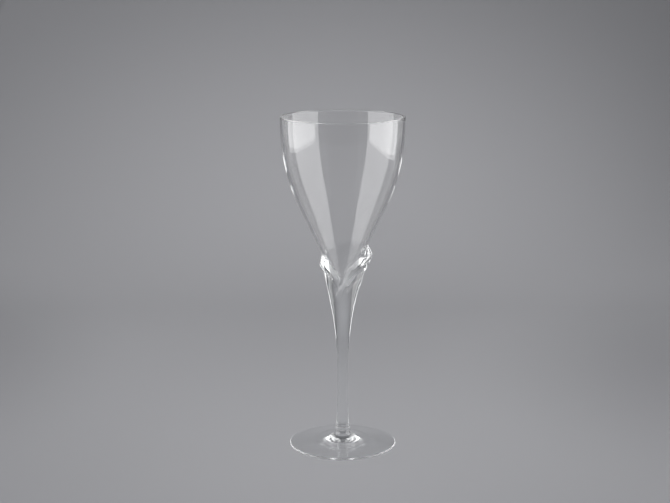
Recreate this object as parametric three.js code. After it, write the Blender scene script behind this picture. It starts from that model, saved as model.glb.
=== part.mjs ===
// A stemmed red wine glass, in millimetres, +Z up. It stands on Z = 0 and its axis is the Z axis.
// Azimuths are in degrees round that axis: 0 is the front (-Y), 90 the right (+X), 180 the back.
import * as THREE from "three";

// Heights of the stack, from the table up
const footHeight = 11; // table to the top of the hub
const mereseHeight = 1.6; // the small glass button between hub and stem
const stemLength = 84.4; // button to the shoulder that carries the leaves
const pinLength = 13; // the stem's pin above that shoulder, up to the base of the bowl
const bowlHeight = 115; // base of the bowl to the rim

// Foot: a thin disc with a slightly climbing upper face and a hub that flares up to the stem
const footRadius = 36.2;
const footEdgeThickness = 1.5;
const footClimb = 2.7; // rise of the upper face from the edge to the start of the hub
const hubRadius = 17; // where the hub's flare leaves the upper face
const hubTopRadius = 4.6;
const hubFootHandle = 7; // how far the flare stays low before it turns up
const hubNeckHandle = 4.5; // how far the flare stays upright below its top
const restRingWidth = 5; // flat ring under the edge, the face that stands on the table
const footHollow = 1.2; // hollow under the middle of the foot

// Merese and stem
const mereseRadius = 5;
const stemFootRadius = 4.4;
const stemWaistRadius = 3.55;
const stemWaistHeight = 32.4; // above the foot of the stem
const stemHeadRadius = 7.9; // at the shoulder
const stemHeadAngle = 12; // degrees that the outline leans out at the shoulder
const waistHandle = 22; // how far the outline stays upright above the waist
const headHandle = 14; // how far it keeps the lean of the shoulder
const stemFootHandle = 14;

// Bowl: a cone that turns into an almost upright wall
const rimRadius = 41.35;
const rimWall = 1.2;
const bowlBaseRadius = 3; // also the radius of the stem's pin
const coneAngle = 25.45; // degrees between the axis and the wall of the cone
const coneHeight = 52.5; // height of the straight cone above the base
const coneWall = 1.8; // thickness square to the wall
const bowlFloor = 2.2; // glass under the tip of the inside
const rimHandle = 26; // how far the wall stays upright below the rim
const coneHandle = 20; // how far it keeps the lean of the cone

// Leaves: two thick sheaths round the pin and the cone, the right one lapping over the left at the front
const leafThickness = 6.6; // beside the bowl, measured level
const leafMouthHeight = 41; // above the shoulder, where the sheath runs level with the cone
const leafHeight = 38.4; // mean height of the upper edge above the shoulder
const leafTilt = 5.2; // how much the upper edge climbs towards leafTiltAzimuth
const leafTiltAzimuth = 135;
const leafBackAzimuth = 200; // where the two leaves meet behind
const lapStep = 1.5; // the right leaf stands this far proud of the left one where it laps
const lapFade = 20; // height above the shoulder over which that step grows
const lapStartAzimuth = -36; // foot of the right leaf's free edge
const lapRise = 24.3; // how far that edge climbs almost upright
const lapLean = 4.5; // degrees that the edge turns while it climbs
const rightSweepAzimuth = 78; // the free edge comes up to the level edge from here
const rightJoinAzimuth = 110;
const leftSettleAzimuth = -100; // from the joint behind to here the left leaf thins to its own thickness
const leftJoinAzimuth = -90; // from here to the lap the left edge falls
const leftSweepAzimuth = -62;
const leftSweepHeight = 38.5;
const leftDropAzimuth = -27;
const leftDropHeight = 25.7;
const leftEndAzimuth = 2;
const leftEndHeight = 15;
const rightLipRound = 5.9; // width of the rounding along the right leaf's edge
const rightLipFullness = 0.9; // a half gives a round lip, one a lean lip, two a feathered lip
const leftLipRound = 9;
const leftLipFullness = 1;
const rightFeatherAzimuth = 75; // behind this the right leaf's lip begins to feather out
const rightFeatherTurn = 65; // degrees over which it does so
const leftFeatherAzimuth = -95;
const leftFeatherTurn = 55;
const featherLipRound = 26;
const featherLipFullness = 2;
const lipEdge = 0.4; // thickness left at the edge itself
const steepEdgeShare = 0.45; // least share of a height that counts as distance from a steep edge
const leftBladeHeight = 9.5; // upper edge of the left lobe down to the lower line of its blade
const rightBladeHeight = 15.3;
const bladeStartAzimuth = 22; // the right blade starts here as a point and is full at bladeEndAzimuth
const bladeEndAzimuth = 84;
const bladeStep = 0.9; // how far a leaf steps back under its blade
const bladeTurn = 0.7; // half the height over which it does so
const bladeFade = 11; // below that it swells out again over this height

// Fits and fineness
const meltGap = 0.3; // curved faces that are melted together stand this far apart here
const roundSegments = 64;
const stemSegments = 48;
const leafRows = 16;
const lapColumns = 24;
const backColumns = 13;
const leftColumns = 20;
const leastLeafHeight = 0.6; // the leaves' pointed ends stop at this height

const mereseBase = footHeight;
const stemBase = mereseBase + mereseHeight;
const shoulder = stemBase + stemLength;
const bowlBase = shoulder + pinLength;
const coneSlope = Math.tan(THREE.MathUtils.degToRad(coneAngle));
const coneCosine = Math.cos(THREE.MathUtils.degToRad(coneAngle));
const coneSine = Math.sin(THREE.MathUtils.degToRad(coneAngle));
const headSlope = Math.tan(THREE.MathUtils.degToRad(stemHeadAngle));

const glass = new THREE.Group();
glass.name = "red_wine_glass";

function point(radius, height) {
  return new THREE.Vector2(radius, height);
}

function bend(from, firstHandle, secondHandle, to, steps) {
  return new THREE.CubicBezierCurve(from, firstHandle, secondHandle, to).getPoints(steps);
}

function arc(radius, height, size, startDegrees, endDegrees, clockwise, steps) {
  const start = THREE.MathUtils.degToRad(startDegrees);
  const end = THREE.MathUtils.degToRad(endDegrees);
  return new THREE.EllipseCurve(radius, height, size, size, start, end, clockwise).getPoints(steps);
}

// Turns a profile of (radius, height) points round the Z axis; points that repeat are left out.
function turned(profile, segments) {
  const clean = profile.filter((p, i) => i === 0 || p.distanceTo(profile[i - 1]) > 1e-6);
  const geometry = new THREE.LatheGeometry(clean, segments);
  geometry.rotateX(Math.PI / 2);
  return geometry;
}

function addPiece(name, geometry, height, colour) {
  const material = new THREE.MeshStandardMaterial({ color: colour, roughness: 0.05, metalness: 0 });
  const mesh = new THREE.Mesh(geometry, material);
  mesh.name = name;
  mesh.position.z = height;
  glass.add(mesh);
}

function footProfile() {
  const edge = footEdgeThickness / 2;
  const ringOuter = footRadius - edge;
  const ringInner = ringOuter - restRingWidth;
  const hubFoot = point(hubRadius, footEdgeThickness + footClimb);
  const hubTop = point(hubTopRadius, footHeight);
  const underside = new THREE.QuadraticBezierCurve(
    point(0, footHollow),
    point(ringInner / 2, footHollow),
    point(ringInner, 0),
  );
  return [
    ...underside.getPoints(5),
    ...arc(ringOuter, edge, edge, -90, 90, false, 6),
    ...bend(
      hubFoot,
      point(hubRadius - hubFootHandle, hubFoot.y + (footClimb * hubFootHandle) / footRadius),
      point(hubTopRadius, footHeight - hubNeckHandle),
      hubTop,
      9,
    ),
    point(0, footHeight),
  ];
}

function mereseProfile() {
  const round = mereseHeight / 2;
  return [
    point(0, 0),
    ...arc(mereseRadius - round, round, round, -90, 90, false, 6),
    point(0, mereseHeight),
  ];
}

function stemProfile() {
  const waist = point(stemWaistRadius, stemWaistHeight);
  return [
    point(0, 0),
    ...bend(
      point(stemFootRadius, 0),
      point(stemWaistRadius + (stemFootRadius - stemWaistRadius) / 2, stemFootHandle / 2),
      point(stemWaistRadius, stemWaistHeight - stemFootHandle),
      waist,
      6,
    ),
    ...bend(
      waist,
      point(stemWaistRadius, stemWaistHeight + waistHandle),
      point(stemHeadRadius - headSlope * headHandle, stemLength - headHandle),
      point(stemHeadRadius, stemLength),
      10,
    ),
    point(bowlBaseRadius, stemLength),
    point(bowlBaseRadius, stemLength + pinLength),
    point(0, stemLength + pinLength),
  ];
}

// Radius of the cone's outer face, by height above the base of the bowl
function coneRadius(height) {
  return bowlBaseRadius + coneSlope * height;
}

function bowlProfile() {
  const wallAcross = coneWall / coneCosine;
  const insideStart = bowlBaseRadius - wallAcross;
  const tipRadius = (bowlFloor + insideStart / coneSlope) / (1 / coneSine - 1);
  const lip = rimWall / 2;
  const outerTop = point(rimRadius, bowlHeight - lip);
  const innerTop = point(rimRadius - rimWall, bowlHeight - lip);
  const coneTop = point(coneRadius(coneHeight), coneHeight);
  const insideTop = point(coneTop.x - wallAcross, coneHeight);
  return [
    point(0, 0),
    point(bowlBaseRadius, 0),
    ...bend(
      coneTop,
      point(coneTop.x + coneSlope * coneHandle, coneHeight + coneHandle),
      point(rimRadius, bowlHeight - rimHandle),
      outerTop,
      12,
    ),
    ...arc(rimRadius - lip, bowlHeight - lip, lip, 0, 180, false, 4),
    ...bend(
      innerTop,
      point(innerTop.x, bowlHeight - rimHandle),
      point(insideTop.x + coneSlope * coneHandle, coneHeight + coneHandle),
      insideTop,
      12,
    ),
    ...arc(0, bowlFloor + tipRadius, tipRadius, -coneAngle, -90, true, 5),
  ];
}

// The leaves' heights are measured from the stem's shoulder.
function levelEdge(azimuth) {
  return leafHeight + leafTilt * Math.cos(THREE.MathUtils.degToRad(azimuth - leafTiltAzimuth));
}

// Both free edges are drawn on a chart of azimuth and height.
const rightEdge = new THREE.CubicBezierCurve(
  point(lapStartAzimuth, 0),
  point(lapStartAzimuth + lapLean, lapRise),
  point(rightSweepAzimuth, levelEdge(rightJoinAzimuth)),
  point(rightJoinAzimuth, levelEdge(rightJoinAzimuth)),
);
const leftEdge = new THREE.CubicBezierCurve(
  point(leftJoinAzimuth, levelEdge(leftJoinAzimuth)),
  point(leftSweepAzimuth, leftSweepHeight),
  point(leftDropAzimuth, leftDropHeight),
  point(leftEndAzimuth, leftEndHeight),
);

// The value between low and high at which a condition that holds from low on stops holding
function lastWhere(holds, low, high) {
  let inside = low;
  let outside = high;
  for (let i = 0; i < 40; i++) {
    const middle = (inside + outside) / 2;
    if (holds(middle)) {
      inside = middle;
    } else {
      outside = middle;
    }
  }
  return inside;
}

function heightOn(edge, azimuth) {
  const share = lastWhere((t) => edge.getPoint(t).x < azimuth, 0, 1);
  return edge.getPoint(share).y;
}

function rightTop(azimuth) {
  return azimuth < rightJoinAzimuth ? heightOn(rightEdge, azimuth) : levelEdge(azimuth);
}

function leftTop(azimuth) {
  return azimuth > leftJoinAzimuth ? heightOn(leftEdge, azimuth) : levelEdge(azimuth);
}

const gapAngle = THREE.MathUtils.radToDeg(meltGap / stemHeadRadius);

// The left leaf rests on the shoulder, and beside the lap on the right leaf's free edge.
function leftBottom(azimuth) {
  const over = azimuth + gapAngle;
  return over > lapStartAzimuth ? heightOn(rightEdge, over) + meltGap : 0;
}

const lapStart = lastWhere((a) => rightTop(a) < leastLeafHeight, lapStartAzimuth, 0);
const leftTip = lastWhere(
  (a) => leftTop(a) - leftBottom(a) > leastLeafHeight,
  lapStartAzimuth,
  leftEndAzimuth,
);

function leafInside(height) {
  const above = Math.max(0, height - pinLength);
  return coneRadius(above) + meltGap / coneCosine;
}

const leafMouthRadius = coneRadius(leafMouthHeight - pinLength) + leafThickness;
const backGapAngle = THREE.MathUtils.radToDeg(meltGap / leafMouthRadius);

// Outline of the sheath: from the stem's shoulder in one sweep to a face level with the cone
function leafFlare(height) {
  const share = Math.min(height / leafMouthHeight, 1);
  const startLean = headSlope * leafMouthHeight;
  const endLean = coneSlope * leafMouthHeight;
  const cubed = share ** 3;
  const squared = share ** 2;
  const sweep =
    stemHeadRadius * (2 * cubed - 3 * squared + 1) +
    startLean * (cubed - 2 * squared + share) +
    leafMouthRadius * (3 * squared - 2 * cubed) +
    endLean * (cubed - squared);
  return sweep + coneSlope * Math.max(0, height - leafMouthHeight);
}

// Distance from a point of a leaf to its upper edge: under their height difference where the edge is steep
function edgeDistance(top, azimuth, height) {
  const step = 1;
  const rise = top(azimuth + step) - top(azimuth - step);
  const run = 2 * THREE.MathUtils.degToRad(step) * leafFlare(height);
  const share = Math.max(steepEdgeShare, run / Math.hypot(run, rise));
  return (top(azimuth) - height) * share;
}

// Share of the full thickness at a distance from the edge: full beside a lobe, feathered out behind
function lipShare(distance, feathered, lipRound, lipFullness) {
  const width = THREE.MathUtils.lerp(lipRound, featherLipRound, feathered);
  const fullness = THREE.MathUtils.lerp(lipFullness, featherLipFullness, feathered);
  const short = THREE.MathUtils.clamp(1 - distance / width, 0, 1);
  return (1 - short ** 2) ** fullness;
}

// How far a leaf steps back at a depth below the lower line of its blade
function stepBack(depth) {
  const under = THREE.MathUtils.smoothstep(depth, -bladeTurn, bladeTurn);
  const swell = THREE.MathUtils.smoothstep(depth, bladeTurn, bladeFade);
  return bladeStep * under * (1 - swell);
}

// Outer radius of a leaf: the sheath, rounded down to a low face along its edge. The left leaf's low face is
// the bowl. The right leaf's is the left leaf beside the lap, and the bowl above the left leaf's edge.
function leftOutside(azimuth, height) {
  const feathered = THREE.MathUtils.smoothstep(leftFeatherAzimuth - azimuth, 0, leftFeatherTurn);
  const lapped = THREE.MathUtils.smoothstep(azimuth, leafBackAzimuth - 360, leftSettleAzimuth);
  const thinned = lapStep * lapped * THREE.MathUtils.smoothstep(height, 0, lapFade);
  const depth = leftTop(azimuth) - leftBladeHeight - height;
  const full = leafFlare(height) - thinned - stepBack(depth) * (1 - feathered);
  const low = leafInside(height) + lipEdge;
  const distance = edgeDistance(leftTop, azimuth, height);
  return low + (full - low) * lipShare(distance, feathered, leftLipRound, leftLipFullness);
}

function rightOutside(azimuth, height) {
  const feathered = THREE.MathUtils.smoothstep(azimuth - rightFeatherAzimuth, 0, rightFeatherTurn);
  const grown = THREE.MathUtils.smoothstep(azimuth, bladeStartAzimuth, bladeEndAzimuth);
  const depth = rightTop(azimuth) - rightBladeHeight * grown - height;
  const full = leafFlare(height) - stepBack(depth) * grown * (1 - feathered);
  const low = leftOutside(azimuth, height);
  const distance = edgeDistance(rightTop, azimuth, height);
  return low + (full - low) * lipShare(distance, feathered, rightLipRound, rightLipFullness);
}

// A closed sheath: one ring of points for each azimuth, up its outer face and down its inner face
function leafGeometry(azimuths, bottomAt, topAt, outsideAt) {
  const positions = [];
  const triangles = [];
  const ring = 2 * (leafRows + 1);
  for (const azimuth of azimuths) {
    const angle = THREE.MathUtils.degToRad(azimuth);
    const bottom = bottomAt(azimuth);
    const span = topAt(azimuth) - bottom;
    const heights = [];
    for (let row = 0; row <= leafRows; row++) {
      heights.push(bottom + span * Math.sin(((row / leafRows) * Math.PI) / 2));
    }
    for (const height of heights) {
      const radius = outsideAt(azimuth, height);
      positions.push(radius * Math.sin(angle), -radius * Math.cos(angle), height);
    }
    for (const height of heights.reverse()) {
      const radius = leafInside(height);
      positions.push(radius * Math.sin(angle), -radius * Math.cos(angle), height);
    }
  }
  for (let column = 0; column + 1 < azimuths.length; column++) {
    for (let i = 0; i < ring; i++) {
      const here = column * ring + i;
      const next = column * ring + ((i + 1) % ring);
      triangles.push(here, here + ring, next);
      triangles.push(next, here + ring, next + ring);
    }
  }
  const last = (azimuths.length - 1) * ring;
  for (let row = 0; row < leafRows; row++) {
    const inner = ring - 1 - row;
    triangles.push(row, row + 1, inner);
    triangles.push(row + 1, inner - 1, inner);
    triangles.push(last + row, last + inner, last + row + 1);
    triangles.push(last + row + 1, last + inner, last + inner - 1);
  }
  const geometry = new THREE.BufferGeometry();
  geometry.setAttribute("position", new THREE.Float32BufferAttribute(positions, 3));
  geometry.setIndex(triangles);
  geometry.computeVertexNormals();
  return geometry;
}

function spread(from, to, count) {
  return Array.from({ length: count }, (_, i) => from + ((to - from) * i) / count);
}

// Columns follow the right leaf's free edge, then go on evenly round the back to the joint.
const firstShare = lastWhere((t) => rightEdge.getPoint(t).x < lapStart, 0, 1);
const lapAzimuths = spread(firstShare, 1, lapColumns).map((t) => rightEdge.getPoint(t).x);
const rightAzimuths = [
  ...lapAzimuths,
  ...spread(rightJoinAzimuth, leafBackAzimuth - backGapAngle, backColumns),
  leafBackAzimuth - backGapAngle,
];
// The left leaf's columns beside the lap stand a gap away from the right leaf's.
const besideLap = lapAzimuths.map((a) => a - gapAngle).filter((a) => a < leftTip - meltGap);
const leftAzimuths = [
  ...spread(leafBackAzimuth - 360, lapStartAzimuth - gapAngle, leftColumns),
  lapStartAzimuth - gapAngle,
  ...besideLap,
  leftTip,
];

addPiece("foot", turned(footProfile(), roundSegments), 0, 0xdfe6e6);
addPiece("merese", turned(mereseProfile(), stemSegments), mereseBase, 0xe4e9e9);
addPiece("stem", turned(stemProfile(), stemSegments), stemBase, 0xdde4e5);
addPiece("left_leaf", leafGeometry(leftAzimuths, leftBottom, leftTop, leftOutside), shoulder, 0xd9e1e2);
addPiece("right_leaf", leafGeometry(rightAzimuths, () => 0, rightTop, rightOutside), shoulder, 0xe2e8e8);
addPiece("bowl", turned(bowlProfile(), roundSegments), bowlBase, 0xe6ebeb);

export default glass;
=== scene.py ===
import bpy
import bmesh
from functools import lru_cache
from math import cos, degrees, hypot, pi, radians, sin, tan
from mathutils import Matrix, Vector
from mathutils.geometry import interpolate_bezier as bend


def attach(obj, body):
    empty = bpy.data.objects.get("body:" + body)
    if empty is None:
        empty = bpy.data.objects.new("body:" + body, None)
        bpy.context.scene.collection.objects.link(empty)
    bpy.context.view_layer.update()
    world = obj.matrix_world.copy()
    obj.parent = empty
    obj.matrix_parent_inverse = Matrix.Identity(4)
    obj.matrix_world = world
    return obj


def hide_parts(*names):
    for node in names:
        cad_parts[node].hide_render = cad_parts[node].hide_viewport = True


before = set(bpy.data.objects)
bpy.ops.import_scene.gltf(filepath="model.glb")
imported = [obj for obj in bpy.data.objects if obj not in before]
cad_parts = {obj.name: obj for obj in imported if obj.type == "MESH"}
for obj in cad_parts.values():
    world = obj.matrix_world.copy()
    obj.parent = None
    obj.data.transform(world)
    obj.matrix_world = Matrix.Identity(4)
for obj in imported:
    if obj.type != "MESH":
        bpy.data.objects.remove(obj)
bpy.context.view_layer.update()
scene = bpy.context.scene
scene.view_settings.view_transform = "Standard"
mm = 0.001  # shapes are drawn in millimetres and scaled once, when a piece is finished
slack = 0.01  # millimetres within which a face or point counts as lying on a plane or cone
almost = 0.999  # share of one that counts as the whole of it


# small helpers: colours, nodes, curves

def linear(hexColour):
    channels = [int(hexColour[i:i + 2], 16) / 255 for i in (1, 3, 5)]
    return (*[c / 12.92 if c <= 0.04045 else ((c + 0.055) / 1.055) ** 2.4 for c in channels], 1)


def addNode(tree, kind, settings=None, links=None):
    node = tree.nodes.new(kind)
    for name, value in (settings or {}).items():
        if isinstance(name, int) or name in node.inputs:
            node.inputs[name].default_value = value
        else:
            setattr(node, name, value)
    for name, source in (links or {}).items():
        tree.links.new(source, node.inputs[name])
    return node


def emptyMaterial(name):
    material = bpy.data.materials.new(name)
    material.use_nodes = True
    material.node_tree.nodes.clear()
    return material


def at(radius, height):
    return Vector((radius, 0, height))


def arc(centre, size, startDegrees, endDegrees, points):
    turn = [startDegrees + (endDegrees - startDegrees) * i / (points - 1) for i in range(points)]
    return [centre + at(size * cos(radians(t)), size * sin(radians(t))) for t in turn]


def run(start, end, points):
    return [start.lerp(end, i / (points - 1)) for i in range(points)]


def spread(start, end, count):
    return [start + (end - start) * i / count for i in range(count)]


def smoothStep(value, low, high):
    share = min(max((value - low) / (high - low), 0), 1)
    return share * share * (3 - 2 * share)


# materials: clear crystal, worked hot in five ways; wave and haze sizes are in millimetres
clearCrystal = {"colour": "#fdfefe", "ior": 1.53, "turn": 0, "stretch": (1, 1, 1),
                "hazeFrom": 0.35, "hazeFull": 0.8, "hazeRoughness": 0.012, "lampShare": 0.99}


def crystal(name, look):
    material = emptyMaterial(name)
    tree = material.node_tree
    place = addNode(tree, "ShaderNodeTexCoord")
    drawn = addNode(tree, "ShaderNodeMapping", {"vector_type": "TEXTURE", "Rotation": (0, radians(look["turn"]), 0),
                                                "Scale": look["stretch"]}, {"Vector": place.outputs["Object"]})
    waves = addNode(tree, "ShaderNodeTexNoise", {"Scale": 1 / (look["waveLength"] * mm), "Detail": 1.0},
                    {"Vector": drawn.outputs["Vector"]})
    relief = addNode(tree, "ShaderNodeBump", {"Strength": 1.0, "Distance": look["waveHeight"] * mm},
                     {"Height": waves.outputs["Fac"]})
    haze = addNode(tree, "ShaderNodeTexNoise", {"Scale": 1 / (look["hazeSize"] * mm), "Detail": 3.0},
                   {"Vector": place.outputs["Object"]})
    polish = addNode(tree, "ShaderNodeMapRange", {"From Min": look["hazeFrom"], "From Max": look["hazeFull"],
                                                  "To Min": 0.0, "To Max": look["hazeRoughness"]},
                     {"Value": haze.outputs["Fac"]})
    body = addNode(tree, "ShaderNodeBsdfPrincipled",
                   {"Base Color": linear(look["colour"]), "IOR": look["ior"], "Transmission Weight": 1.0},
                   {"Roughness": polish.outputs["Result"], "Normal": relief.outputs["Normal"]})
    # lamps and the lit paper shine on through clear glass, so its shadow on the floor stays faint
    rays = addNode(tree, "ShaderNodeLightPath")
    passing = addNode(tree, "ShaderNodeMath", {"operation": "MAXIMUM"},
                      {0: rays.outputs["Is Shadow Ray"], 1: rays.outputs["Is Diffuse Ray"]})
    share = addNode(tree, "ShaderNodeMath", {"operation": "MULTIPLY", 1: look["lampShare"]},
                    {0: passing.outputs["Value"]})
    clear = addNode(tree, "ShaderNodeBsdfTransparent")
    mixed = addNode(tree, "ShaderNodeMixShader", None,
                    {0: share.outputs["Value"], 1: body.outputs["BSDF"], 2: clear.outputs["BSDF"]})
    addNode(tree, "ShaderNodeOutputMaterial", None, {"Surface": mixed.outputs["Shader"]})
    return material


# blown wall: long shallow waves that bend reflections slightly
blownCrystal = crystal("blownCrystal", {
    **clearCrystal, "colour": "#fefefe", "stretch": (1, 1, 2), "waveLength": 16, "waveHeight": 0.02, "hazeSize": 25})
# shaped with a wooden paddle: broader, softer dents in thick glass
paddledCrystal = crystal("paddledCrystal", {
    **clearCrystal, "stretch": (1, 1, 1.4), "waveLength": 11, "waveHeight": 0.05, "hazeSize": 18})
# pulled up along its rising edge: fine strokes that break the highlights
pulledCrystal = crystal("pulledCrystal", {
    **clearCrystal, "turn": 60, "stretch": (8, 1, 1), "waveLength": 2.2, "waveHeight": 0.16, "hazeSize": 18})
# drawn from a hot gather: fine cords that run along the stem
drawnCrystal = crystal("drawnCrystal", {
    **clearCrystal, "stretch": (1, 1, 12), "waveLength": 3.5, "waveHeight": 0.008, "hazeSize": 14})
# spun out flat: very slight waves, a polished upper face
spunCrystal = crystal("spunCrystal", {
    **clearCrystal, "waveLength": 14, "waveHeight": 0.015, "hazeSize": 20, "hazeRoughness": 0.015})

# where two hot pieces have run together no surface is left, so nothing shows there
meltedJoint = emptyMaterial("meltedJoint")
bare = addNode(meltedJoint.node_tree, "ShaderNodeBsdfPrincipled", {"Alpha": 0.0})
addNode(meltedJoint.node_tree, "ShaderNodeOutputMaterial", None, {"Surface": bare.outputs["BSDF"]})
print("materials made")


# pieces: every one is a closed mesh; faces melted to a neighbour take the joint material
shading = {"sharpAngle": 40, "mergeDistance": 1e-4}


def turned(profile, steps, startAzimuth):
    angle = radians(startAzimuth)
    bm = bmesh.new()
    verts = [bm.verts.new((p.x * sin(angle), -p.x * cos(angle), p.z)) for p in profile]
    edges = [bm.edges.new(pair) for pair in zip(verts, verts[1:])]
    bmesh.ops.spin(bm, geom=verts + edges, cent=(0, 0, 0), axis=(0, 0, 1), dvec=(0, 0, 0),
                   angle=2 * pi, steps=steps, use_merge=True)
    bmesh.ops.remove_doubles(bm, verts=bm.verts, dist=shading["mergeDistance"])
    bmesh.ops.recalc_face_normals(bm, faces=bm.faces)
    return bm


def finishPiece(bm, name, node, skin, joints):
    joints = set(joints)
    for face in bm.faces:
        face.smooth = True
        face.material_index = 1 if face in joints else 0
    bmesh.ops.scale(bm, vec=(mm, mm, mm), verts=bm.verts)
    mesh = bpy.data.meshes.new(name)
    bm.to_mesh(mesh)
    bm.free()
    mesh.materials.append(skin)
    mesh.materials.append(meltedJoint)
    mesh.set_sharp_from_angle(angle=radians(shading["sharpAngle"]))
    piece = bpy.data.objects.new(name, mesh)
    scene.collection.objects.link(piece)
    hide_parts(node)
    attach(piece, "root")
    print(name, "made,", len(mesh.polygons), "faces")


def radiusOf(face):
    centre = face.calc_center_median()
    return hypot(centre.x, centre.y)


def heightOf(face):
    return face.calc_center_median().z


# foot: thin disc, climbing upper face, flared hub, hollow underside
foot = {"height": 11, "radius": 36.2, "edge": 0.75, "edgeTurn": 84, "climb": 2.7, "climbStart": (-0.3, 0.02),
        "climbEnd": (0.4, -0.04), "hubRadius": 17, "hubTop": 4.6, "hubFootHandle": 7, "hubNeckHandle": 4.5,
        "restRing": 1, "hollow": 2.6, "underRows": 24, "edgeRows": 16, "climbRows": 16, "hubRows": 40, "steps": 192}
merese = {"height": 1.6, "radius": 5, "rows": 24, "steps": 128}
buttonFace = merese["radius"] - merese["height"] / 2  # radius of the flat faces melted to hub and stem

ringOuter = foot["radius"] - foot["edge"]
ringInner = ringOuter - foot["restRing"]
edgeTop = at(ringOuter, 2 * foot["edge"])
hubFoot = at(foot["hubRadius"], 2 * foot["edge"] + foot["climb"])
hubRise = foot["climb"] * foot["hubFootHandle"] / foot["radius"]
footProfile = [
    *bend(at(0, foot["hollow"]), at(ringInner / 3, foot["hollow"]),
          at(ringInner * 2 / 3, foot["hollow"] * 2 / 3), at(ringInner, 0), foot["underRows"]),
    *arc(at(ringOuter, foot["edge"]), foot["edge"], -90, foot["edgeTurn"], foot["edgeRows"]),
    *run(edgeTop + at(*foot["climbStart"]), hubFoot + at(*foot["climbEnd"]), foot["climbRows"]),
    *bend(hubFoot, hubFoot + at(-foot["hubFootHandle"], hubRise),
          at(foot["hubTop"], foot["height"] - foot["hubNeckHandle"]), at(foot["hubTop"], foot["height"]),
          foot["hubRows"]),
    at(buttonFace, foot["height"]), at(0, foot["height"])]
bm = turned(footProfile, foot["steps"], 0)
joints = [f for f in bm.faces if heightOf(f) > foot["height"] - slack and radiusOf(f) < buttonFace]
finishPiece(bm, "footDisc", "foot", spunCrystal, joints)

# merese: a small rounded button melted between hub and stem
mereseBase = foot["height"]
mereseRound = merese["height"] / 2
mereseProfile = [at(0, 0), *arc(at(buttonFace, mereseRound), mereseRound, -90, 90, merese["rows"]),
                 at(0, merese["height"])]
bm = turned([p + at(0, mereseBase) for p in mereseProfile], merese["steps"], 0)
joints = [f for f in bm.faces if abs(f.normal.z) > almost and radiusOf(f) < buttonFace]
finishPiece(bm, "mereseButton", "merese", drawnCrystal, joints)

# stem: drawn trumpet with a slim waist and a pin that runs up between the leaves
stem = {"length": 84.4, "pin": 13, "footRadius": 4.4, "waistRadius": 3.55, "waistHeight": 32.4,
        "headRadius": 7.9, "headAngle": 12, "waistHandle": 22, "headHandle": 14, "footHandle": 14,
        "pinRadius": 3, "footRows": 40, "headRows": 60, "steps": 128}
stemBase = mereseBase + merese["height"]
shoulder = stemBase + stem["length"]
headSlope = tan(radians(stem["headAngle"]))
waist = at(stem["waistRadius"], stem["waistHeight"])
stemProfile = [
    at(0, 0), at(buttonFace, 0),
    *bend(at(stem["footRadius"], 0), at((stem["footRadius"] + stem["waistRadius"]) / 2, stem["footHandle"] / 2),
          waist - at(0, stem["footHandle"]), waist, stem["footRows"]),
    *bend(waist, waist + at(0, stem["waistHandle"]),
          at(stem["headRadius"] - headSlope * stem["headHandle"], stem["length"] - stem["headHandle"]),
          at(stem["headRadius"], stem["length"]), stem["headRows"]),
    at(stem["pinRadius"], stem["length"]), at(stem["pinRadius"], stem["length"] + stem["pin"]),
    at(0, stem["length"] + stem["pin"])]
bm = turned([p + at(0, stemBase) for p in stemProfile], stem["steps"], 0)
joints = [f for f in bm.faces if heightOf(f) > shoulder - slack
          or (heightOf(f) < stemBase + slack and radiusOf(f) < buttonFace)]
finishPiece(bm, "stemTrumpet", "stem", drawnCrystal, joints)

# the bowl's values come before the leaves, which are shaped on its cone
bowl = {"height": 115, "rimRadius": 41.35, "rimWall": 1.2, "baseRadius": 3, "coneAngle": 25.45,
        "coneHeight": 52.5, "coneWall": 1.8, "floor": 2.2, "rimHandle": 26, "coneHandle": 20,
        "coneRows": 30, "wallRows": 60, "rimRows": 14, "insideRows": 40, "tipRows": 24, "steps": 192}
coneSlope = tan(radians(bowl["coneAngle"]))
coneCosine = cos(radians(bowl["coneAngle"]))
coneSine = sin(radians(bowl["coneAngle"]))

# leaves: two thick sheaths round the pin and the cone, the right one lapping over the left
leaf = {"thickness": 6.6, "mouthHeight": 41, "height": 38.4, "tilt": 5.2, "tiltAzimuth": 135, "backAzimuth": 200,
        "lapStep": 1.5, "lapFade": 20, "lapStart": -36, "lapRise": 24.3, "lapLean": 4.5,
        "rightSweep": 78, "rightJoin": 110, "leftSettle": -100, "leftJoin": -90, "leftSweep": -62,
        "leftSweepHeight": 38.5, "leftDrop": -27, "leftDropHeight": 25.7, "leftEnd": 2, "leftEndHeight": 15,
        "rightLip": 5.9, "rightFullness": 0.9, "leftLip": 9, "leftFullness": 1,
        "rightFeather": (75, 140), "leftFeather": (95, 150), "featherLip": 26, "featherFullness": 2,
        "lipEdge": 0.12, "steepShare": 0.45, "slopeReach": 1,
        "leftBlade": 9.5, "rightBlade": 15.3, "bladeStart": 22, "bladeEnd": 84, "bladeStep": 0.9,
        "bladeTurn": 0.7, "bladeFade": 11, "leastHeight": 0.06, "tipGap": 0.1,
        "rows": 90, "lapColumns": 110, "backColumns": 50, "leftColumns": 80}


def coneRadius(height):
    return bowl["baseRadius"] + coneSlope * height


def levelEdge(azimuth):
    return leaf["height"] + leaf["tilt"] * cos(radians(azimuth - leaf["tiltAzimuth"]))


# free edges, drawn on a chart of azimuth (x) and height above the shoulder (z)
rightEdge = (at(leaf["lapStart"], 0), at(leaf["lapStart"] + leaf["lapLean"], leaf["lapRise"]),
             at(leaf["rightSweep"], levelEdge(leaf["rightJoin"])),
             at(leaf["rightJoin"], levelEdge(leaf["rightJoin"])))
leftEdge = (at(leaf["leftJoin"], levelEdge(leaf["leftJoin"])), at(leaf["leftSweep"], leaf["leftSweepHeight"]),
            at(leaf["leftDrop"], leaf["leftDropHeight"]), at(leaf["leftEnd"], leaf["leftEndHeight"]))


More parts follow.
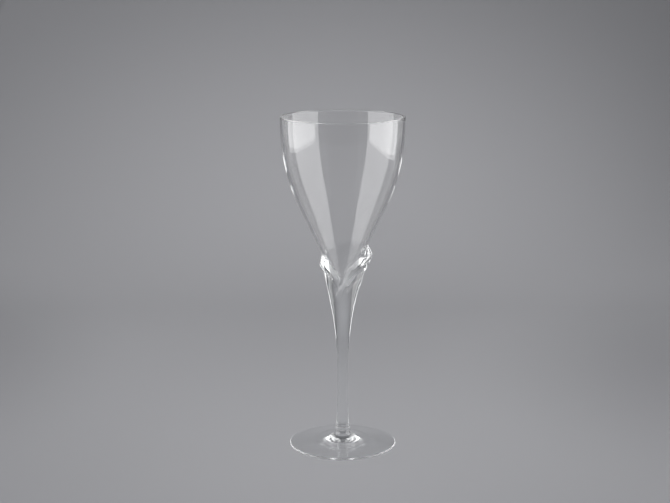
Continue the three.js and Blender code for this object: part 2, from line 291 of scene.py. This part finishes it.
def onEdge(edge, t):
    return sum(((1 - t) ** 3 * edge[0], 3 * t * (1 - t) ** 2 * edge[1], 3 * t * t * (1 - t) * edge[2],
                t ** 3 * edge[3]), Vector())


def lastWhere(holds, low, high, halvings=40):
    for _ in range(halvings):
        middle = (low + high) / 2
        low, high = (middle, high) if holds(middle) else (low, middle)
    return low


def heightOn(edge, azimuth):
    return onEdge(edge, lastWhere(lambda t: onEdge(edge, t).x < azimuth, 0, 1)).z


@lru_cache(maxsize=None)
def rightTop(azimuth):
    return heightOn(rightEdge, azimuth) if azimuth < leaf["rightJoin"] else levelEdge(azimuth)


@lru_cache(maxsize=None)
def leftTop(azimuth):
    return heightOn(leftEdge, azimuth) if azimuth > leaf["leftJoin"] else levelEdge(azimuth)


@lru_cache(maxsize=None)
def leftBottom(azimuth):
    return rightTop(azimuth) if azimuth > leaf["lapStart"] else 0


firstShare = lastWhere(lambda t: onEdge(rightEdge, t).z < leaf["leastHeight"], 0, 1)
leftTip = lastWhere(lambda a: leftTop(a) - leftBottom(a) > leaf["leastHeight"], leaf["lapStart"], leaf["leftEnd"])


def rimLine(azimuth):
    return leftTop(azimuth) if azimuth < leftTip else rightTop(azimuth)


def leafInside(height):
    return coneRadius(max(0, height - stem["pin"]))


mouthRadius = coneRadius(leaf["mouthHeight"] - stem["pin"]) + leaf["thickness"]


# a smooth sweep that leaves the stem's head at its slope and reaches the mouth at the cone's slope
def leafFlare(height):
    mouth = leaf["mouthHeight"]
    s = min(height / mouth, 1)
    sweep = (stem["headRadius"] * (2 * s ** 3 - 3 * s ** 2 + 1) + headSlope * mouth * (s ** 3 - 2 * s ** 2 + s)
             + mouthRadius * (3 * s ** 2 - 2 * s ** 3) + coneSlope * mouth * (s ** 3 - s ** 2))
    return sweep + coneSlope * max(0, height - mouth)


# distance from a free edge, about square to it; the edge's slope is taken slopeReach degrees to each side
def edgeDistance(top, azimuth, height):
    reach = leaf["slopeReach"]
    rise = top(azimuth + reach) - top(azimuth - reach)
    across = 2 * radians(reach) * leafFlare(height)
    return (top(azimuth) - height) * max(leaf["steepShare"], across / hypot(across, rise))


def rounded(distance, width, fullness):
    return max(0, 1 - max(0, 1 - distance / width) ** 2) ** fullness


# under a blade's lower line the leaf steps back, then swells out again further down
def bladeStep(drop, depth):
    under = smoothStep(drop, -leaf["bladeTurn"], leaf["bladeTurn"])
    return leaf["bladeStep"] * depth * under * (1 - smoothStep(drop, leaf["bladeTurn"], leaf["bladeFade"]))


# a lip is full beside the lobe and feathers out towards the back
def lipShare(distance, feathered, width, fullness):
    width += (leaf["featherLip"] - width) * feathered
    fullness += (leaf["featherFullness"] - fullness) * feathered
    return rounded(distance, width, fullness)


def leftOutside(azimuth, height):
    feathered = smoothStep(-azimuth, *leaf["leftFeather"])
    lapped = smoothStep(azimuth, leaf["backAzimuth"] - 360, leaf["leftSettle"])
    full = leafFlare(height) - leaf["lapStep"] * smoothStep(height, 0, leaf["lapFade"]) * lapped
    full -= bladeStep(leftTop(azimuth) - leaf["leftBlade"] - height, 1 - feathered)
    low = leafInside(height) + leaf["lipEdge"]
    distance = edgeDistance(leftTop, azimuth, height)
    return low + (full - low) * lipShare(distance, feathered, leaf["leftLip"], leaf["leftFullness"])


# the right leaf is rounded down on to the left one beside the lap, and on to the bowl past its tip
def rightOutside(azimuth, height):
    feathered = smoothStep(azimuth, *leaf["rightFeather"])
    grown = smoothStep(azimuth, leaf["bladeStart"], leaf["bladeEnd"])
    full = leafFlare(height)
    full -= bladeStep(rightTop(azimuth) - leaf["rightBlade"] * grown - height, grown * (1 - feathered))
    low = leftOutside(azimuth, height)
    distance = edgeDistance(rightTop, azimuth, height)
    return low + (full - low) * lipShare(distance, feathered, leaf["rightLip"], leaf["rightFullness"])


lapAzimuths = [onEdge(rightEdge, t).x for t in spread(firstShare, 1, leaf["lapColumns"])]
rightAzimuths = [*lapAzimuths, *spread(leaf["rightJoin"], leaf["backAzimuth"], leaf["backColumns"]),
                 leaf["backAzimuth"]]
leftAzimuths = [*spread(leaf["backAzimuth"] - 360, leaf["lapStart"], leaf["leftColumns"]),
                *[a for a in lapAzimuths if a < leftTip - leaf["tipGap"]], leftTip]


# a flat grid gets a second face, then every point goes to its azimuth, height and side of the leaf
def leafShell(azimuths, bottomAt, topAt, outsideAt):
    columns = len(azimuths) - 1
    rows = leaf["rows"]
    bm = bmesh.new()
    bmesh.ops.create_grid(bm, x_segments=columns, y_segments=rows, size=0.5)
    lifted = bmesh.ops.extrude_face_region(bm, geom=bm.faces[:])["geom"]
    bmesh.ops.translate(bm, vec=(0, 0, 1), verts=[v for v in lifted if isinstance(v, bmesh.types.BMVert)])
    joints = []
    for face in bm.faces:
        centre = face.calc_center_median()
        azimuth = azimuths[min(int((centre.x + 0.5) * columns), columns)]
        freeEdge = centre.y > almost / 2 and not (outsideAt is rightOutside and azimuth < leftTip)
        if centre.z < almost and not freeEdge:
            joints.append(face)
    for v in bm.verts:
        azimuth = azimuths[round((v.co.x + 0.5) * columns)]
        share = sin(round((v.co.y + 0.5) * rows) / rows * pi / 2)
        height = bottomAt(azimuth) + (topAt(azimuth) - bottomAt(azimuth)) * share
        radius = outsideAt(azimuth, height) if v.co.z > 0.5 else leafInside(height)
        v.co = (radius * sin(radians(azimuth)), -radius * cos(radians(azimuth)), shoulder + height)
    bmesh.ops.recalc_face_normals(bm, faces=bm.faces)
    if bm.calc_volume(signed=True) < 0:  # a hollow sheath can come out turned inwards
        bmesh.ops.reverse_faces(bm, faces=bm.faces)
    return bm, joints


bm, joints = leafShell(rightAzimuths, lambda a: 0, rightTop, rightOutside)
finishPiece(bm, "rightLeaf", "right_leaf", paddledCrystal, joints)
bm, joints = leafShell(leftAzimuths, leftBottom, leftTop, leftOutside)
finishPiece(bm, "leftLeaf", "left_leaf", pulledCrystal, joints)

# bowl: a blown cone that turns into an almost upright wall with a fire-polished rim
bowlBase = shoulder + stem["pin"]
wallAcross = bowl["coneWall"] / coneCosine
tipRadius = (bowl["floor"] + (bowl["baseRadius"] - wallAcross) / coneSlope) / (1 / coneSine - 1)
rimRound = bowl["rimWall"] / 2
coneTop = at(coneRadius(bowl["coneHeight"]), bowl["coneHeight"])
insideTop = coneTop - at(wallAcross, 0)
outerTop = at(bowl["rimRadius"], bowl["height"] - rimRound)
innerTop = outerTop - at(bowl["rimWall"], 0)
coneLean = at(coneSlope * bowl["coneHandle"], bowl["coneHandle"])
rimDrop = at(0, bowl["rimHandle"] - rimRound)
coveredTo = leaf["height"] - stem["pin"]  # mean height of the leaves' edge on the cone
leafLine = at(coneRadius(coveredTo), coveredTo)
tipArc = arc(at(0, bowl["floor"] + tipRadius), tipRadius, -bowl["coneAngle"], -90, bowl["tipRows"])
bowlProfile = [
    at(0, 0), *run(at(bowl["baseRadius"], 0), leafLine, bowl["coneRows"]),
    *run(leafLine, coneTop, bowl["coneRows"])[1:],
    *bend(coneTop, coneTop + coneLean, outerTop - rimDrop, outerTop, bowl["wallRows"])[1:],
    *arc(outerTop - at(rimRound, 0), rimRound, 0, 180, bowl["rimRows"]),
    *bend(innerTop, innerTop - rimDrop, insideTop + coneLean, insideTop, bowl["wallRows"])[1:],
    *run(insideTop, tipArc[0], bowl["insideRows"])[1:-1], *tipArc]
bm = turned(bowlProfile, bowl["steps"], leftTip)
joints = []
for face in bm.faces:
    height = heightOf(face)
    inLeaves = height < coveredTo and radiusOf(face) > coneRadius(height) - bowl["coneWall"] / 2
    onPin = height < slack and face.normal.z < -almost
    if inLeaves or onPin:
        joints.append(face)


# azimuth in degrees, 0 at the front; it jumps at the back, where the leaves meet
def azimuthOf(point):
    start = leaf["backAzimuth"] - 360
    turn = degrees(Vector((point.x, point.y)).angle_signed(Vector((0, -1)), 0))
    return (turn - start) % 360 + start


# rows on the outside of the cone slide along it, so that one of them follows the leaves' edge
for v in bm.verts:
    radius = hypot(v.co.x, v.co.y)
    height = v.co.z
    if 0 < height < bowl["coneHeight"] and abs(radius - coneRadius(height)) < slack:
        edge = rimLine(azimuthOf(v.co)) - stem["pin"]
        share = (height - coveredTo) / (bowl["coneHeight"] - coveredTo)
        v.co.z = edge * height / coveredTo if height <= coveredTo else edge + (bowl["coneHeight"] - edge) * share
        grow = coneRadius(v.co.z) / radius
        v.co.x *= grow
        v.co.y *= grow
bmesh.ops.translate(bm, vec=(0, 0, bowlBase), verts=bm.verts)
finishPiece(bm, "bowlWall", "bowl", blownCrystal, joints)

# floor: a wide sheet of background paper that sweeps up behind the glass, in metres but for the fibre and the gap under
# the foot; each pool is a soft round of another grey, with its centre and half sizes. The pools are painted light on
# the paper: the wall and floor pools are painted pools of light, and the two edge pools are painted shade towards the
# sides
paper = {"front": -0.76, "half": 0.74, "bendStart": 0.38, "bendRadius": 0.55, "bendStep": 3, "top": 3.0,
         "under": 0.05, "fibre": 0.6, "fibreHeight": 0.05, "fibreStrength": 0.1, "colour": "#9f9fa2",
         "paintedLightPools": {"wall": ("#cdcdd0", (0.02, 0.66, 0.07), (0.62, 0.9, 0.36)),
                   "floor": ("#b9b9bc", (-0.01, 0.05, 0), (0.3, 0.6, 1.0)),
                   "leftEdge": ("#8b8b8e", (-0.42, 0.17, 0), (0.25, 0.38, 0.2)),
                   "rightEdge": ("#8b8b8e", (0.38, 0.15, 0), (0.3, 0.36, 0.2))}}
bm = bmesh.new()
paperLow = -paper["under"] * mm
bendCentre = Vector((-paper["half"], paper["bendStart"], paper["bendRadius"] + paperLow))
bendTurns = range(0, 90 + paper["bendStep"], paper["bendStep"])
curve = [bendCentre + paper["bendRadius"] * Vector((0, sin(radians(t)), -cos(radians(t)))) for t in bendTurns]
line = [Vector((-paper["half"], paper["front"], paperLow)), *curve,
        Vector((-paper["half"], paper["bendStart"] + paper["bendRadius"], paper["top"]))]
verts = [bm.verts.new(p) for p in line]
edges = [bm.edges.new(pair) for pair in zip(verts, verts[1:])]
widened = bmesh.ops.extrude_edge_only(bm, edges=edges)["geom"]
bmesh.ops.translate(bm, vec=(2 * paper["half"], 0, 0),
                    verts=[v for v in widened if isinstance(v, bmesh.types.BMVert)])
bmesh.ops.recalc_face_normals(bm, faces=bm.faces)
for face in bm.faces:
    face.smooth = True
mesh = bpy.data.meshes.new("paperSweep")
bm.to_mesh(mesh)
bm.free()
floor = bpy.data.objects.new("paperSweep", mesh)
scene.collection.objects.link(floor)
# matte paper: no shine, a faint fibre grain
mattePaper = emptyMaterial("mattePaper")
tree = mattePaper.node_tree
place = addNode(tree, "ShaderNodeTexCoord")
fibre = addNode(tree, "ShaderNodeTexNoise", {"Scale": 1 / (paper["fibre"] * mm), "Detail": 2.0},
                {"Vector": place.outputs["Object"]})
grain = addNode(tree, "ShaderNodeBump", {"Strength": paper["fibreStrength"], "Distance": paper["fibreHeight"] * mm},
                {"Height": fibre.outputs["Fac"]})
# the paper's own grey, with the painted pools of light and painted shade mixed over it below
paperWithPaintedLight = addNode(tree, "ShaderNodeRGB").outputs["Color"]
paperWithPaintedLight.default_value = linear(paper["colour"])
# each pool mixes in its grey, a painted pool of light or painted shade, softly from its centre outwards
for grey, centre, size in paper["paintedLightPools"].values():
    paintedPoolPlace = addNode(tree, "ShaderNodeMapping", {"vector_type": "TEXTURE", "Location": centre, "Scale": size},
                   {"Vector": place.outputs["Object"]})
    graded = addNode(tree, "ShaderNodeTexGradient", {"gradient_type": "SPHERICAL"}, {"Vector": paintedPoolPlace.outputs["Vector"]})
    paintedPoolShare = addNode(tree, "ShaderNodeMapRange", {"interpolation_type": "SMOOTHSTEP"}, {"Value": graded.outputs["Fac"]})
    paperWithPaintedLight = addNode(tree, "ShaderNodeMix", {"data_type": "RGBA", 7: linear(grey)},
                   {0: paintedPoolShare.outputs["Result"], 6: paperWithPaintedLight}).outputs[2]
sheet = addNode(tree, "ShaderNodeBsdfDiffuse", None, {"Color": paperWithPaintedLight, "Normal": grain.outputs["Normal"]})
addNode(tree, "ShaderNodeOutputMaterial", None, {"Surface": sheet.outputs["BSDF"]})
mesh.materials.append(mattePaper)
print("paper laid")

# light: a tall soft box on each side of the glass and two grey cards behind it, given by the ends of their lower edges
softBoxes = {"left": ((-0.745, -0.60), (-0.725, 0.38)), "right": ((0.712, -0.60), (0.595, 0.31))}
cards = {"left": ((-0.62, 0.56), (-0.40, 0.88)), "right": ((0.62, 0.56), (0.40, 0.88))}
# each soft box is two lamps: one for what it lights and its reflections, and one, dimmer straight through both walls of
# the bowl, for what shows through the glass
panels = {"SoftBox": {"places": softBoxes, "forward": 0, "height": 0.95, "radiance": 2.4, "straight": 2.4,
                      "unseenBy": ("camera", "transmission")},
          "SoftBoxThrough": {"places": softBoxes, "forward": 0.005, "height": 0.95, "radiance": 2.4, "straight": 0.65,
                             "unseenBy": ("diffuse", "glossy")},
          "Card": {"places": cards, "forward": 0, "height": 0.5, "radiance": 0.25, "straight": 0.25,
                   "unseenBy": ("camera",)}}
panelLow = 0.005
wallFaces = 3  # a ray through one wall of the bowl has passed two faces, and through both walls four
for kind, look in panels.items():
    for side, (near, far) in look["places"].items():
        near, far = Vector((*near, 0)), Vector((*far, 0))
        width = (far - near).length
        lamp = bpy.data.lights.new(side + kind, "AREA")
        lamp.shape = "RECTANGLE"
        lamp.size = width
        lamp.size_y = look["height"]
        lamp.energy = look["radiance"] * pi * width * look["height"]
        lamp.use_nodes = True
        tree = lamp.node_tree
        tree.nodes.clear()
        rays = addNode(tree, "ShaderNodeLightPath")
        single = addNode(tree, "ShaderNodeMath", {"operation": "LESS_THAN", 1: wallFaces},
                         {0: rays.outputs["Transmission Depth"]})
        bent = addNode(tree, "ShaderNodeMath", {"operation": "MAXIMUM"},
                       {0: single.outputs["Value"], 1: rays.outputs["Glossy Depth"]})
        strength = addNode(tree, "ShaderNodeMapRange", {"To Min": look["straight"] / look["radiance"], "To Max": 1.0},
                           {"Value": bent.outputs["Value"]})
        glow = addNode(tree, "ShaderNodeEmission", None, {"Strength": strength.outputs["Result"]})
        addNode(tree, "ShaderNodeOutputLight", None, {"Surface": glow.outputs["Emission"]})
        panel = bpy.data.objects.new(side + kind, lamp)
        panel.location = (near + far) / 2 + Vector((0, 0, panelLow + look["height"] / 2))
        facing = (far - near).cross(Vector((0, 0, 1)))
        if facing.dot(panel.location) > 0:
            facing.negate()
        panel.location += look["forward"] * facing.normalized()
        panel.rotation_euler = facing.to_track_quat("-Z", "Y").to_euler()
        for rayKind in look["unseenBy"]:
            setattr(panel, "visible_" + rayKind, False)
        scene.collection.objects.link(panel)

# room: its tones from front to back by the direction's Y, and its ceiling by Z; seen directly, or straight through the
# glass towards the front, it has the wall's grey
room = {"tones": ((-0.3, "#5a5b5e"), (0.2, "#2c2d30"), (0.52, "#2c2d30"), (0.58, "#8a8b8e")),
        "ceiling": "#8c8d90", "ceilingFrom": 0.6, "ceilingFull": 0.95,
        "wall": "#98999c", "frontFrom": 0.0, "frontFull": -0.1}
world = bpy.data.worlds.new("dimRoom")
scene.world = world
world.use_nodes = True
tree = world.node_tree
tree.nodes.clear()
place = addNode(tree, "ShaderNodeTexCoord")
parts = addNode(tree, "ShaderNodeSeparateXYZ", None, {"Vector": place.outputs["Generated"]})
back = addNode(tree, "ShaderNodeMapRange", {"From Min": -1, "From Max": 1}, {"Value": parts.outputs["Y"]})
depth = addNode(tree, "ShaderNodeValToRGB", None, {"Fac": back.outputs["Result"]})
stops = depth.color_ramp.elements
while len(stops) < len(room["tones"]):
    stops.new(1)
for stop, (y, colour) in zip(stops, room["tones"]):
    stop.position = (y + 1) / 2
    stop.color = linear(colour)
up = addNode(tree, "ShaderNodeMapRange", {"From Min": room["ceilingFrom"], "From Max": room["ceilingFull"]},
             {"Value": parts.outputs["Z"]})
fade = addNode(tree, "ShaderNodeMix", {"data_type": "RGBA", 7: linear(room["ceiling"])},
               {0: up.outputs["Result"], 6: depth.outputs["Color"]})
rays = addNode(tree, "ShaderNodeLightPath")
front = addNode(tree, "ShaderNodeMapRange", {"From Min": room["frontFrom"], "From Max": room["frontFull"]},
                {"Value": parts.outputs["Y"]})
straight = addNode(tree, "ShaderNodeMath", {"operation": "LESS_THAN", 1: 0.5}, {0: rays.outputs["Glossy Depth"]})
through = addNode(tree, "ShaderNodeMath", {"operation": "MULTIPLY"},
                  {0: rays.outputs["Is Transmission Ray"], 1: front.outputs["Result"]})
looking = addNode(tree, "ShaderNodeMath", {"operation": "MAXIMUM"},
                  {0: rays.outputs["Is Camera Ray"], 1: through.outputs["Value"]})
direct = addNode(tree, "ShaderNodeMath", {"operation": "MULTIPLY"},
                 {0: looking.outputs["Value"], 1: straight.outputs["Value"]})
shown = addNode(tree, "ShaderNodeMix", {"data_type": "RGBA", 7: linear(room["wall"])},
                {0: direct.outputs["Value"], 6: fade.outputs[2]})
sky = addNode(tree, "ShaderNodeBackground", {"Strength": 1.0}, {"Color": shown.outputs[2]})
addNode(tree, "ShaderNodeOutputWorld", None, {"Surface": sky.outputs["Background"]})

# light runs down inside the thin wall with many turns before it leaves, which lights the rim
lightPaths = {"turns": 160, "clearFaces": 64}
scene.cycles.max_bounces = lightPaths["turns"]
scene.cycles.transmission_bounces = lightPaths["turns"]
scene.cycles.glossy_bounces = lightPaths["turns"]
scene.cycles.transparent_max_bounces = lightPaths["clearFaces"]
scene.cycles.caustics_reflective = False
scene.cycles.caustics_refractive = False
print("stage and light set")

# camera: somewhat higher than the rim, looking a little down; pixels are the photograph's
view = {"distance": 0.935, "height": 0.329, "pitch": 11.76, "sensor": 36, "imageWidth": 670, "focalPixels": 1426,
        "axisPixel": 342.7}
camera = bpy.data.cameras.new("photoView")
camera.sensor_width = view["sensor"]
camera.lens = view["focalPixels"] / view["imageWidth"] * view["sensor"]
camera.shift_x = (view["imageWidth"] / 2 - view["axisPixel"]) / view["imageWidth"]
eye = bpy.data.objects.new("photoView", camera)
eye.location = (0, -view["distance"], view["height"])
eye.rotation_euler = (radians(90 - view["pitch"]), 0, 0)
scene.collection.objects.link(eye)
scene.camera = eye
print("camera set")
